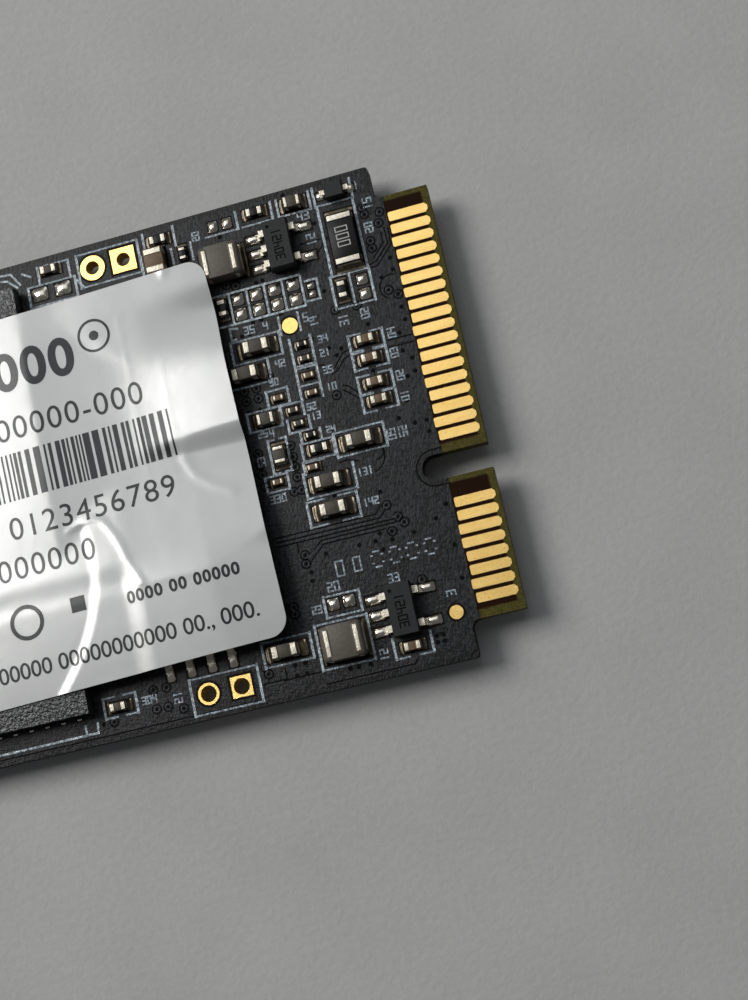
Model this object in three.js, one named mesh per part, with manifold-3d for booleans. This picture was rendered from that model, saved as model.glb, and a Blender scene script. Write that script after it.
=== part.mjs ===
// Full-size mSATA solid state drive card.
// Millimetres, +Z up. X runs from the screw end (-) to the edge connector (+), Y runs across the card.
// The origin is under the card's centre, on the plane that the underside memory packages stand on.

import * as THREE from 'three';
import { mergeVertices } from 'three/addons/utils/BufferGeometryUtils.js';
import Module from 'manifold-3d';

const wasm = await Module();
wasm.setup();

// ---- driving dimensions ----

const CARD = { length: 50.8, width: 29.85, thickness: 1.0, cornerRadius: 0.2 };
const TONGUE = { length: 3.2, width: 25.7, fillet: 0.48 };
const NOTCH = { y: -3.85, width: 1.5, depth: 4.0 };
const UNDERSIDE_HEIGHT = 1.2;

const FILM = 0.04; // thickness of the solder mask and of the plated copper
const PLATING = 0.05; // wall of a plated hole
const CLEARANCE = 0.01; // between a plated barrel and its drilled hole
const MASK_RELIEF = 0.05; // gap from a pad's rim to the solder mask

const SCREW_HOLE = { x: -22.5, y: 12.1, radius: 1.3, pad: 2.7 };
const CONTACT = { pitch: 0.8, width: 0.6, tieBar: 0.15, outerGap: 0.22 };
const LONG_ROW = { count: 18, topY: -2.1 };
const SHORT_ROW = { count: 8, topY: -11.7 };
const BOTTOM_ROW_SHIFT = 0.4; // the underside contacts sit half a pitch along

const NAND = { length: 18, width: 12, height: 1.2, y: 7.1 };
const NAND_TOP_X = -9.35;
const NAND_BOTTOM_X = -6;
const CONTROLLER = { x: 5.7, y: -0.9, length: 9, width: 9, height: 0.8 };
const DRAM = { x: 5.9, y: 7.65, length: 10, width: 7.5, height: 0.8 };
const NAND_BALLS = { count: 8, pitch: 2, offY: 5.2 };
const CONTROLLER_BALLS = { count: 6, pitch: 1.5 };
const DRAM_BALLS = { count: 7, pitch: 1.4, offY: 3 };
const BALL = { height: 0.25, radius: 0.2, sides: 6 };
const SUBSTRATE_THICKNESS = 0.22;

const FLASH = { x: 6.4, y: -8.9, length: 3.9, width: 4.9, height: 1.5 };
const INDUCTOR = { length: 2.5, width: 2.05, height: 1.2, capLength: 0.4 };
const INDUCTOR_NORTH = { x: 12.5, y: 11.3, turn: 0 };
const INDUCTOR_SOUTH = { x: 14.95, y: -12.4, turn: 0 };
const LABEL = { x: -3.4, y: -0.28, length: 30.5, width: 23, thickness: 0.1, turn: 1.7 };
const LABEL_SAG = { slope: 0.35, lowest: 0.9 }; // how steeply it falls off a package, and how far
const LABEL_GRID = { along: 16, across: 12 };

const boardTop = UNDERSIDE_HEIGHT + CARD.thickness;
const coreTop = boardTop - FILM;
const coreBottom = UNDERSIDE_HEIGHT + FILM;
const cardEnd = CARD.length / 2;
const shoulderX = cardEnd - TONGUE.length;
const maskEnd = shoulderX + 0.5;
const HALF_TURN = Math.PI;
const QUARTER_TURN = Math.PI / 2;

// ---- materials ----

function material(color, roughness, metalness) {
  return new THREE.MeshStandardMaterial({ color, roughness, metalness });
}

const laminate = material(0x5f5a26, 0.7, 0);
const solderMask = material(0x2d2f33, 0.45, 0);
const gold = material(0xf0c868, 0.25, 1);
const mould = material(0x17181a, 0.8, 0);
const substrate = material(0x2a3326, 0.6, 0);
const tin = material(0xc9c5ba, 0.35, 1);
const ferrite = material(0x6f6760, 0.75, 0);
const ceramic = material(0x8a7565, 0.6, 0);
const resistorGlaze = material(0x141416, 0.35, 0);
const labelFilm = material(0xc8cacd, 0.3, 0.3);

// ---- building blocks ----

const card = new THREE.Group();

function addPart(name, geometry, partMaterial) {
  const mesh = new THREE.Mesh(geometry, partMaterial);
  mesh.name = name;
  card.add(mesh);
}

function toSolid(geometry) {
  const bare = geometry.clone();
  bare.deleteAttribute('normal');
  bare.deleteAttribute('uv');
  const welded = mergeVertices(bare, 1e-5);
  return new wasm.Manifold(new wasm.Mesh({
    numProp: 3,
    vertProperties: new Float32Array(welded.attributes.position.array),
    triVerts: new Uint32Array(welded.index.array),
  }));
}

function toGeometry(solid) {
  const mesh = solid.getMesh();
  const geometry = new THREE.BufferGeometry();
  geometry.setAttribute('position', new THREE.BufferAttribute(mesh.vertProperties, 3));
  geometry.setIndex(new THREE.BufferAttribute(mesh.triVerts, 1));
  geometry.computeVertexNormals();
  return geometry;
}

function joined(geometries) {
  return geometries.map(toSolid).reduce((sum, next) => sum.add(next));
}

// A box given by its low and high corners.
function box(x0, x1, y0, y1, z0, z1) {
  const geometry = new THREE.BoxGeometry(x1 - x0, y1 - y0, z1 - z0);
  return geometry.translate((x0 + x1) / 2, (y0 + y1) / 2, (z0 + z1) / 2);
}

// A flat shape in XY made solid from z0 to z1.
function slab(shape, z0, z1, curveSegments = 4) {
  const geometry = new THREE.ExtrudeGeometry(shape, { depth: z1 - z0, bevelEnabled: false, curveSegments });
  return geometry.translate(0, 0, z0);
}

function polygonPoints(x, y, radius, sides) {
  const points = [];
  for (let i = 0; i < sides; i++) {
    const angle = (i / sides) * 2 * Math.PI;
    points.push(new THREE.Vector2(x + radius * Math.cos(angle), y + radius * Math.sin(angle)));
  }
  return points;
}

const squarePoints = (x, y, half) => [[-half, -half], [half, -half], [half, half], [-half, half]]
  .map(([dx, dy]) => new THREE.Vector2(x + dx, y + dy));

// ---- the card ----

// The card's outline up to endX: square screw end, stepped shoulders, and a tongue cut by
// the round-ended key notch.
function cardOutline(endX) {
  const left = -cardEnd;
  const side = CARD.width / 2;
  const corner = CARD.cornerRadius;
  const tongueSide = TONGUE.width / 2;
  const fillet = TONGUE.fillet;
  const notchHalf = NOTCH.width / 2;
  const notchCentreX = cardEnd - NOTCH.depth + notchHalf;
  const shape = new THREE.Shape();
  shape.moveTo(left + corner, -side);
  shape.absarc(shoulderX - corner, -side + corner, corner, -QUARTER_TURN, 0, false);
  shape.absarc(shoulderX + fillet, -tongueSide - fillet, fillet, HALF_TURN, QUARTER_TURN, true);
  shape.lineTo(endX, -tongueSide);
  shape.lineTo(endX, NOTCH.y - notchHalf);
  shape.absarc(notchCentreX, NOTCH.y, notchHalf, -QUARTER_TURN, QUARTER_TURN, true);
  shape.lineTo(endX, NOTCH.y + notchHalf);
  shape.lineTo(endX, tongueSide);
  shape.absarc(shoulderX + fillet, tongueSide + fillet, fillet, -QUARTER_TURN, -HALF_TURN, true);
  shape.absarc(shoulderX - corner, side - corner, corner, 0, QUARTER_TURN, false);
  shape.absarc(left + corner, side - corner, corner, QUARTER_TURN, HALF_TURN, false);
  shape.absarc(left + corner, -side + corner, corner, HALF_TURN, 1.5 * Math.PI, false);
  return shape;
}

const platedHoles = [
  { name: 'screw_pad_north', ...SCREW_HOLE, sides: 28 },
  { name: 'screw_pad_south', ...SCREW_HOLE, y: -SCREW_HOLE.y, sides: 28 },
  { name: 'header_ring_north', x: 4.45, y: 13.4, radius: 0.4, pad: 0.8, sides: 12 },
  { name: 'header_square_north', x: 6.45, y: 13.4, radius: 0.4, pad: 0.78, sides: 12, square: true },
  { name: 'header_ring_south', x: 6.5, y: -13.5, radius: 0.45, pad: 0.65, sides: 12 },
  { name: 'header_square_south', x: 8.5, y: -13.5, radius: 0.45, pad: 0.63, sides: 12, square: true },
];

const fiducials = [
  { name: 'fiducial_middle', x: 15.65, y: 6.6, radius: 0.48 },
  { name: 'fiducial_corner', x: 21.5, y: -12.2, radius: 0.4 },
];
const FIDUCIAL_SIDES = 16;

function padPoints(hole, margin) {
  const reach = hole.pad + margin;
  if (hole.square) {
    return squarePoints(hole.x, hole.y, reach);
  }
  return polygonPoints(hole.x, hole.y, reach, hole.sides);
}

function circuitBoard() {
  const shape = cardOutline(cardEnd);
  for (const { x, y, radius, sides } of platedHoles) {
    shape.holes.push(new THREE.Path(polygonPoints(x, y, radius + PLATING + CLEARANCE, sides)));
  }
  return slab(shape, coreBottom, coreTop);
}

function solderMaskLayer(z0, withFiducials) {
  const shape = cardOutline(maskEnd);
  for (const hole of platedHoles) {
    shape.holes.push(new THREE.Path(padPoints(hole, MASK_RELIEF)));
  }
  for (const { x, y, radius } of withFiducials ? fiducials : []) {
    shape.holes.push(new THREE.Path(polygonPoints(x, y, radius + MASK_RELIEF, FIDUCIAL_SIDES)));
  }
  return slab(shape, z0, z0 + FILM);
}

// A copper barrel through the board with a pad on each face.
function platedHole(hole) {
  const bore = polygonPoints(hole.x, hole.y, hole.radius, hole.sides);
  const ring = (points, z0, z1) => {
    const shape = new THREE.Shape(points);
    shape.holes.push(new THREE.Path(bore));
    return slab(shape, z0, z1);
  };
  const pad = padPoints(hole, 0);
  const barrel = polygonPoints(hole.x, hole.y, hole.radius + PLATING, hole.sides);
  return toGeometry(joined([
    ring(pad, UNDERSIDE_HEIGHT, coreBottom),
    ring(barrel, UNDERSIDE_HEIGHT, boardTop),
    ring(pad, coreTop, boardTop),
  ]));
}

addPart('circuit_board', circuitBoard(), laminate);
addPart('solder_mask_top', solderMaskLayer(coreTop, true), solderMask);
addPart('solder_mask_bottom', solderMaskLayer(UNDERSIDE_HEIGHT, false), solderMask);
for (const hole of platedHoles) {
  addPart(hole.name, platedHole(hole), hole.radius === SCREW_HOLE.radius ? tin : gold);
}
for (const { name, x, y, radius } of fiducials) {
  const disc = new THREE.Shape(polygonPoints(x, y, radius, FIDUCIAL_SIDES));
  addPart(name, slab(disc, coreTop, boardTop), gold);
}

// ---- edge contacts ----

// A row of contacts as one comb: the thin bar at the mask's edge stands for the traces that feed them.
function contactComb(firstY, count, z0) {
  const half = CONTACT.width / 2;
  const barX = maskEnd + CONTACT.tieBar;
  const tipX = cardEnd - CONTACT.outerGap;
  const lastY = firstY + (count - 1) * CONTACT.pitch;
  const points = [[maskEnd, lastY + half], [maskEnd, firstY - half]];
  for (let i = 0; i < count; i++) {
    const y = firstY + i * CONTACT.pitch;
    points.push([tipX, y - half], [tipX, y + half]);
    if (i < count - 1) {
      points.push([barX, y + half], [barX, y + CONTACT.pitch - half]);
    }
  }
  return slab(new THREE.Shape(points.map(([x, y]) => new THREE.Vector2(x, y))), z0, z0 + FILM);
}

for (const [length, row] of [['long', LONG_ROW], ['short', SHORT_ROW]]) {
  const bottomY = row.topY + BOTTOM_ROW_SHIFT;
  addPart(`contacts_top_${length}`, contactComb(row.topY, row.count, coreTop), gold);
  addPart(`contacts_bottom_${length}`, contactComb(bottomY, row.count, UNDERSIDE_HEIGHT), gold);
}

// ---- ball grid packages ----

// A package standing on its solder balls. face is 1 on the card's top and -1 on its underside.
function addBallGridPackage(name, { x, y, length, width, height }, face, ballRows) {
  const boardFace = face > 0 ? boardTop : UNDERSIDE_HEIGHT;
  const level = (offset) => boardFace + face * offset;
  const layer = (low, high) => {
    const [z0, z1] = [level(low), level(high)].sort((a, b) => a - b);
    return box(x - length / 2, x + length / 2, y - width / 2, y + width / 2, z0, z1);
  };
  const capStart = BALL.height + SUBSTRATE_THICKNESS;
  const ballTall = BALL.height + SUBSTRATE_THICKNESS / 2;
  const ball = new THREE.CylinderGeometry(BALL.radius, BALL.radius, ballTall, BALL.sides);
  const balls = ballRows.map(([dx, dy]) => ball.clone()
    .rotateX(QUARTER_TURN)
    .translate(x + dx, y + dy, level(ballTall / 2)));
  addPart(`${name}_substrate`, toGeometry(joined([layer(BALL.height, capStart), ...balls])), substrate);
  addPart(`${name}_mould_cap`, layer(capStart, height), mould);
}

// Ball places along the two long sides of a package: count balls at the given pitch,
// offY from its centre line.
function sideRows(count, pitch, offY) {
  const places = [];
  for (let i = 0; i < count; i++) {
    const dx = (i - (count - 1) / 2) * pitch;
    places.push([dx, offY], [dx, -offY]);
  }
  return places;
}

// Ball places all round a square package.
function perimeterRows(count, pitch) {
  const reach = ((count - 1) / 2) * pitch;
  const places = sideRows(count, pitch, reach);
  for (let i = 1; i < count - 1; i++) {
    const dy = -reach + i * pitch;
    places.push([reach, dy], [-reach, dy]);
  }
  return places;
}

const nandBalls = sideRows(NAND_BALLS.count, NAND_BALLS.pitch, NAND_BALLS.offY);
for (const [side, y] of [['north', NAND.y], ['south', -NAND.y]]) {
  addBallGridPackage(`memory_top_${side}`, { ...NAND, x: NAND_TOP_X, y }, 1, nandBalls);
  addBallGridPackage(`memory_bottom_${side}`, { ...NAND, x: NAND_BOTTOM_X, y }, -1, nandBalls);
}
const controllerBalls = perimeterRows(CONTROLLER_BALLS.count, CONTROLLER_BALLS.pitch);
addBallGridPackage('controller', CONTROLLER, 1, controllerBalls);
addBallGridPackage('dram', DRAM, 1, sideRows(DRAM_BALLS.count, DRAM_BALLS.pitch, DRAM_BALLS.offY));

// ---- leaded packages ----

const LEAD_SHOULDER = 0.15; // how far a lead runs out level before it bends down
const PADDLE_MARGIN = 0.05;
const BODY_DRAFT = 0.08;

// A gull-wing lead running out along +X from the package's middle, seen from the side.
function gullWingLead({ width, thickness, foot }, offsetY, bodyHalf, reach, shoulderZ) {
  const bend = bodyHalf + LEAD_SHOULDER;
  const heel = reach - foot;
  const profile = new THREE.Shape([
    [0, shoulderZ], [bend, shoulderZ], [heel - thickness / 2, 0], [reach, 0],
    [reach, thickness], [heel + thickness / 2, thickness], [bend + thickness, shoulderZ + thickness],
    [0, shoulderZ + thickness],
  ].map(([u, w]) => new THREE.Vector2(u, w)));
  const geometry = new THREE.ExtrudeGeometry(profile, { depth: width, bevelEnabled: false });
  return geometry.rotateX(QUARTER_TURN).translate(0, offsetY + width / 2, 0);
}

// A moulded package with leads on its west and east sides. It is built round its own centre,
// then turned and placed.
function addLeadedPackage(name, spec, placed) {
  const { length, width, height, span, lead, standOff = 0.1 } = spec;
  const shoulderZ = (height + standOff - lead.thickness) / 2;
  const leads = [];
  for (const [turn, offsets] of [[HALF_TURN, spec.west.map((y) => -y)], [0, spec.east]]) {
    for (const offset of offsets) {
      leads.push(gullWingLead(lead, offset, length / 2, span / 2, shoulderZ).rotateZ(turn));
    }
  }
  const paddleHalf = Math.max(...spec.west) + lead.width / 2 + PADDLE_MARGIN;
  const paddleTop = shoulderZ + lead.thickness;
  const paddle = box(-lead.width, lead.width, -paddleHalf, paddleHalf, shoulderZ, paddleTop);
  const frame = joined([paddle, ...leads]);
  const middle = (height + standOff) / 2;
  const section = new THREE.Shape([
    [-length / 2 + BODY_DRAFT, standOff], [length / 2 - BODY_DRAFT, standOff], [length / 2, middle],
    [length / 2 - BODY_DRAFT, height], [-length / 2 + BODY_DRAFT, height], [-length / 2, middle],
  ].map(([u, w]) => new THREE.Vector2(u, w)));
  const block = new THREE.ExtrudeGeometry(section, { depth: width, bevelEnabled: false });
  const body = toSolid(block.rotateX(QUARTER_TURN).translate(0, width / 2, 0)).subtract(frame);
  for (const [suffix, solid, partMaterial] of [['body', body, mould], ['lead_frame', frame, tin]]) {
    const geometry = toGeometry(solid).rotateZ(placed.turn).translate(placed.x, placed.y, boardTop);
    addPart(`${name}_${suffix}`, geometry, partMaterial);
  }
}

const soicPins = [-1.905, -0.635, 0.635, 1.905];
addLeadedPackage('flash', {
  ...FLASH, span: 6, west: soicPins, east: soicPins, lead: { width: 0.42, thickness: 0.2, foot: 0.6 },
}, { x: FLASH.x, y: FLASH.y, turn: QUARTER_TURN });

const regulator = {
  length: 1.6, width: 2.9, height: 1.1, span: 2.8, west: [-0.95, 0, 0.95], east: [-0.95, 0.95],
  lead: { width: 0.4, thickness: 0.15, foot: 0.35 },
};
addLeadedPackage('regulator_north', regulator, { x: 16.15, y: 11.4, turn: 0 });
addLeadedPackage('regulator_south', regulator, { x: 18.6, y: -11.4, turn: 0 });

addLeadedPackage('diode', {
  length: 1.2, width: 0.9, height: 0.7, span: 1.8, west: [0], east: [0], standOff: 0.05,
  lead: { width: 0.3, thickness: 0.12, foot: 0.25 },
}, { x: 20, y: 13.9, turn: 0 });

// ---- chip parts ----

const CAP_WALL = 0.04;

// A chip part with a metal cap over each end, lying along X before it is turned.
function addCappedChip(name, { length, width, height, capLength }, placed, bodyMaterial, ends) {
  const inner = box(-length / 2 + CAP_WALL, length / 2 - CAP_WALL,
    -width / 2 + CAP_WALL, width / 2 - CAP_WALL, CAP_WALL, height - CAP_WALL);
  const place = (geometry) => geometry.rotateZ(placed.turn).translate(placed.x, placed.y, boardTop);
  addPart(`${name}_body`, place(inner.clone()), bodyMaterial);
  const endPlaces = [[-length / 2, -length / 2 + capLength], [length / 2 - capLength, length / 2]];
  endPlaces.forEach(([x0, x1], i) => {
    const cap = toSolid(box(x0, x1, -width / 2, width / 2, 0, height)).subtract(toSolid(inner));
    addPart(`${name}_cap_${ends[i]}`, place(toGeometry(cap)), tin);
  });
}

addCappedChip('inductor_north', INDUCTOR, INDUCTOR_NORTH, ferrite, ['west', 'east']);
addCappedChip('inductor_south', INDUCTOR, INDUCTOR_SOUTH, ferrite, ['west', 'east']);
addCappedChip('jumper', { length: 3.2, width: 1.6, height: 0.6, capLength: 0.5 },
  { x: 19.95, y: 10.8, turn: QUARTER_TURN }, resistorGlaze, ['south', 'north']);

// A ceramic capacitor as one solid: a block with a slightly proud band at each end.
function capacitor({ length, width, height, x, y, turn = 0, face = 1 }) {
  const proud = 0.03;
  const band = length / 5;
  const block = box(-length / 2, length / 2, -width / 2 + proud, width / 2 - proud, proud, height - proud);
  const west = box(-length / 2, -length / 2 + band, -width / 2, width / 2, 0, height);
  const east = box(length / 2 - band, length / 2, -width / 2, width / 2, 0, height);
  const z = face > 0 ? boardTop : UNDERSIDE_HEIGHT - height;
  return toGeometry(joined([block, west, east])).rotateZ(turn).translate(x, y, z);
}

const C0603 = { length: 1.6, width: 0.8, height: 0.8 };
const C0402 = { length: 1.1, width: 0.75, height: 0.6 };
const capacitors = {
  capacitor_core_a: { ...C0603, x: 13.5, y: 5.75 },
  capacitor_core_b: { ...C0603, x: 12.5, y: 4.3 },
  capacitor_core_c: { ...C0402, x: 13.15, y: 1.35 },
  capacitor_core_d: { ...C0402, x: 13.5, y: -0.95, turn: QUARTER_TURN },
  capacitor_edge_a: { ...C0603, x: 18.3, y: -1.2 },
  capacitor_edge_b: { ...C0603, x: 16, y: -3.15 },
  capacitor_edge_c: { ...C0603, x: 15.95, y: -4.8 },
  capacitor_output_south: { ...C0603, x: 11.5, y: -12.15 },
  capacitor_output_north: { ...C0603, width: 1.2, x: 8.5, y: 12.55, turn: QUARTER_TURN },
  capacitor_input_north: { ...C0402, x: 17.4, y: 13.9 },
  capacitor_underside_a: { ...C0603, x: 15, y: 6, face: -1 },
  capacitor_underside_b: { ...C0603, x: 15, y: -6, face: -1 },
};
for (const [name, spec] of Object.entries(capacitors)) {
  addPart(name, capacitor(spec), ceramic);
}

// ---- label ----

// The label lies on the packages and the north inductor, and sags between them. Each holds it up
// over its own outline plus a margin a little wider than a cell of the label's grid.
const labelSupports = [
  { x: NAND_TOP_X, y: NAND.y, length: NAND.length, width: NAND.width, height: NAND.height },
  { x: NAND_TOP_X, y: -NAND.y, length: NAND.length, width: NAND.width, height: NAND.height },
  CONTROLLER,
  DRAM,
  { x: FLASH.x, y: FLASH.y, length: FLASH.width, width: FLASH.length, height: FLASH.height },
  { ...INDUCTOR, ...INDUCTOR_NORTH },
];

const LABEL_CELL = Math.hypot(LABEL.length / LABEL_GRID.along, LABEL.width / LABEL_GRID.across);
const SUPPORT_MARGIN = 1.2 * LABEL_CELL;

function labelSag(x, y) {
  const heights = labelSupports.map((support) => {
    const outX = Math.max(0, Math.abs(x - support.x) - support.length / 2 - SUPPORT_MARGIN);
    const outY = Math.max(0, Math.abs(y - support.y) - support.width / 2 - SUPPORT_MARGIN);
    return support.height - LABEL_SAG.slope * Math.hypot(outX, outY);
  });
  return Math.max(LABEL_SAG.lowest, ...heights);
}

function label() {
  const { length, width, thickness, turn } = LABEL;
  const sheet = new THREE.BoxGeometry(length, width, thickness, LABEL_GRID.along, LABEL_GRID.across, 1);
  sheet.rotateZ(THREE.MathUtils.degToRad(turn)).translate(LABEL.x, LABEL.y, boardTop + thickness / 2);
  const position = sheet.attributes.position;
  for (let i = 0; i < position.count; i++) {
    position.setZ(i, position.getZ(i) + labelSag(position.getX(i), position.getY(i)));
  }
  return sheet;
}

addPart('label', label(), labelFilm);

export default card;
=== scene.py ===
"""Looks of a bare solid state drive card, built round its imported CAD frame.

Sizes are millimetres in the card's frame: X to the edge connector, Y across, Z up.
MM turns them into metres.
"""

import math
import random

import bmesh
import bpy
from mathutils import Matrix, Vector


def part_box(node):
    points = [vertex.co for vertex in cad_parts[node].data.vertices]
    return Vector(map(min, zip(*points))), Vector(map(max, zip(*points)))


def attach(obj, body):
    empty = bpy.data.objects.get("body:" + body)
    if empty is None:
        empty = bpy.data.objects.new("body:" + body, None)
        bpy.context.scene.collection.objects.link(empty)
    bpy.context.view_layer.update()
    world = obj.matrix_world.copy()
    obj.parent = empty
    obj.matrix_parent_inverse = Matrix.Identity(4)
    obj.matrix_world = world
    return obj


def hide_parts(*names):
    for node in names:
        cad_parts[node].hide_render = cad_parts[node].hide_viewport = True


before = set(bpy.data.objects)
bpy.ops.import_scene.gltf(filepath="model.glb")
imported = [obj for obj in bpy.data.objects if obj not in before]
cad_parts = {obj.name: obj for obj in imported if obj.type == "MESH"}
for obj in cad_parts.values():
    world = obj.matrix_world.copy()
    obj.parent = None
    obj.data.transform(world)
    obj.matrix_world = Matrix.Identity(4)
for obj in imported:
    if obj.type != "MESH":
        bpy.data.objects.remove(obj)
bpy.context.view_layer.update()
MM = 0.001
random.seed(7)


def corners(node):
    """A CAD node's lowest and highest corner, in millimetres."""
    low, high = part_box(node)
    return low / MM, high / MM


board_low, board_high = corners("circuit_board")
BOARD_TOP = corners("solder_mask_top")[1].z
BOARD_BOTTOM = corners("solder_mask_bottom")[0].z
MASK_END = corners("solder_mask_top")[1].x
SHOULDER_X = 22.2
NOTCH_Y = -3.85
NOTCH_HALF = 0.75
NOTCH_CENTRE_X = 22.15
UPRIGHT = math.pi / 2
COPPER = 0.04  # thickness of the plated copper and of the lacquer
RECESS_LOW, RECESS_HIGH = -0.01, 0.004  # from the lacquer's face to a bare patch's foot and top
RECESS_RIM = 0.07

CAMERA_PLACE = Vector((29.90, -20.80, 83.52 + BOARD_TOP))
CAMERA_RIGHT = Vector((0.96146, -0.21272, -0.17421))
CAMERA_UP = Vector((0.23944, 0.95922, 0.15019))
LENS, SENSOR = 53.72, 36
LAMP_DISTANCE = 480
WINDOW = {"direction": (-0.56, 0.36, 0.746), "size": 245, "radiance": 8.6, "colour": (1.0, 0.99, 0.97)}
NORTH_WINDOW = {"direction": (-0.10, 0.50, 0.86), "size": 420, "radiance": 0.95, "colour": (0.95, 0.98, 1.0)}

# ---- camera, light and floor ----


def aim(obj, position, right, up):
    """Places a camera or lamp whose own axes are right, up and backwards."""
    axes = Matrix((right, up, right.cross(up))).transposed().to_4x4()
    obj.matrix_world = Matrix.Translation(position * MM) @ axes
    bpy.context.scene.collection.objects.link(obj)


def add_camera():
    data = bpy.data.cameras.new("camera")
    data.sensor_width = SENSOR
    data.lens = LENS
    data.clip_start = 0.005
    camera = bpy.data.objects.new("camera", data)
    right = CAMERA_RIGHT.normalized()
    up = (CAMERA_UP - right * CAMERA_UP.dot(right)).normalized()
    aim(camera, CAMERA_PLACE, right, up)
    bpy.context.scene.camera = camera


def add_lamp(name, direction, size, radiance, colour):
    """A square soft box seen from the card in the given direction, with sides in line with the card's."""
    data = bpy.data.lights.new(name, "AREA")
    data.size = size * MM
    data.energy = radiance * math.pi * data.size ** 2
    data.color = colour
    back = Vector(direction).normalized()
    right = (Vector((1, 0, 0)) - back * back.x).normalized()
    aim(bpy.data.objects.new(name, data), back * LAMP_DISTANCE, right, back.cross(right))


def add_floor(reach=0.6):
    mesh = bpy.data.meshes.new("floor")
    square = [(-reach, -reach, 0), (reach, -reach, 0), (reach, reach, 0), (-reach, reach, 0)]
    mesh.from_pydata(square, [], [(0, 1, 2, 3)])
    floor = bpy.data.objects.new("floor", mesh)
    bpy.context.scene.collection.objects.link(floor)
    pale, shaded = (0.42, 0.42, 0.415), (0.38, 0.38, 0.375)
    mesh.materials.append(surface("floor_paper", pale, shaded, 9, (0.75, 0.9), bump=0.1, grain=0.4))


def set_world(colour, strength):
    world = bpy.data.worlds.new("studio")
    world.use_nodes = True
    background = world.node_tree.nodes["Background"]
    background.inputs["Color"].default_value = (*colour, 1)
    background.inputs["Strength"].default_value = strength
    bpy.context.scene.world = world


# ---- materials ----


class Nodes:
    """A helper round a material's node tree. Its coordinates are millimetres in the card's frame."""

    def __init__(self, name):
        self.material = bpy.data.materials.new(name)
        self.material.use_nodes = True
        self.tree = self.material.node_tree
        self.shader = self.tree.nodes["Principled BSDF"]
        place = self.tree.nodes.new("ShaderNodeTexCoord").outputs["Object"]
        self.place = self.vector("MULTIPLY", place, (1 / MM,) * 3)

    def node(self, kind, inputs, **settings):
        made = self.tree.nodes.new(kind)
        for key, value in settings.items():
            setattr(made, key, value)
        for key, value in inputs.items():
            self.feed(made.inputs[key], value)
        return made

    def feed(self, socket, value):
        if isinstance(value, bpy.types.NodeSocket):
            self.tree.links.new(value, socket)
        else:
            socket.default_value = value

    def vector(self, operation, a, b):
        return self.node("ShaderNodeVectorMath", {0: a, 1: b}, operation=operation).outputs[0]

    def math(self, operation, a, b=0.0, c=0.0):
        return self.node("ShaderNodeMath", {0: a, 1: b, 2: c}, operation=operation).outputs[0]

    def noise(self, size, detail=3.0, stretch=(1, 1, 1), turn=0.0, roughness=0.55):
        """Noise whose blots are about size millimetres across, stretched along its turned axes."""
        turning = {"Vector": self.place, "Angle": turn}
        turned = self.node("ShaderNodeVectorRotate", turning, rotation_type="Z_AXIS").outputs[0]
        scaled = self.vector("DIVIDE", turned, stretch)
        inputs = {"Vector": scaled, "Scale": 1 / size, "Detail": detail, "Roughness": roughness}
        return self.node("ShaderNodeTexNoise", inputs).outputs["Fac"]

    def spread(self, value, low, high, start=0.3, end=0.7):
        """Maps a noise from start..end to low..high."""
        return self.node("ShaderNodeMapRange", {0: value, 1: start, 2: end, 3: low, 4: high}).outputs[0]

    def mix(self, factor, first, second):
        first, second = (c if isinstance(c, bpy.types.NodeSocket) else (*c, 1) for c in (first, second))
        return self.node("ShaderNodeMix", {0: factor, 6: first, 7: second}, data_type="RGBA").outputs[2]

    def finish(self, colour, roughness, metallic=0.0, specular=0.5, relief=None, depth=0.0):
        """Feeds the shader. depth is the height of the relief in millimetres."""
        inputs = self.shader.inputs
        self.feed(inputs["Base Color"], colour)
        self.feed(inputs["Roughness"], roughness)
        inputs["Metallic"].default_value = metallic
        inputs["Specular IOR Level"].default_value = specular
        if depth:
            bump = self.node("ShaderNodeBump", {"Height": relief, "Distance": depth * MM, "Strength": 1.0})
            self.tree.links.new(bump.outputs[0], inputs["Normal"])
        return self.material


def surface(name, colour, second, blot, roughness, metallic=0.0, bump=0.0, grain=0.05,
            stretch=(1, 1, 1), specular=0.5):
    """An ordinary finish: two colours in soft blots, a roughness range, and a fine grain in relief."""
    n = Nodes(name)
    blots = n.noise(blot, 4, stretch)
    fine = n.noise(grain, 3, stretch)
    both = n.math("MULTIPLY_ADD", fine, 0.35, n.math("MULTIPLY", blots, 0.65))
    mixed = n.mix(n.spread(both, 0, 1, 0.35, 0.65), colour, second)
    return n.finish(mixed, n.spread(fine, *roughness), metallic, specular, fine, bump * grain)


def ceramic(name, colour, second):
    """The dull sintered body of a chip part."""
    return surface(name, colour, second, 0.2, (0.4, 0.55), bump=0.25, grain=0.03, specular=0.3)


def solder_mask_material(name, lift=1.0):
    """Charcoal lacquer over glass cloth: fine slanting threads and soft patches."""
    n = Nodes(name)
    threads = n.noise(0.125, 3, (1, 2.4, 1), 0.24, 0.65)
    cross = n.noise(0.15, 2, (2, 1, 1), 0.24)
    patches = n.noise(2.5, 3)
    weave = n.math("MULTIPLY_ADD", cross, 0.4, n.math("MULTIPLY", threads, 0.6))
    shade = n.math("MULTIPLY_ADD", weave, 0.85, n.math("MULTIPLY", patches, 0.15))
    dark = tuple(c * lift for c in (0.002, 0.0022, 0.0026))
    light = tuple(c * lift for c in (0.0225, 0.0235, 0.0265))
    mixed = n.mix(n.spread(shade, 0, 1, 0.44, 0.57), dark, light)
    return n.finish(mixed, n.spread(weave, 0.32, 0.42), 0, 0.2, weave, 0.055)


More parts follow.
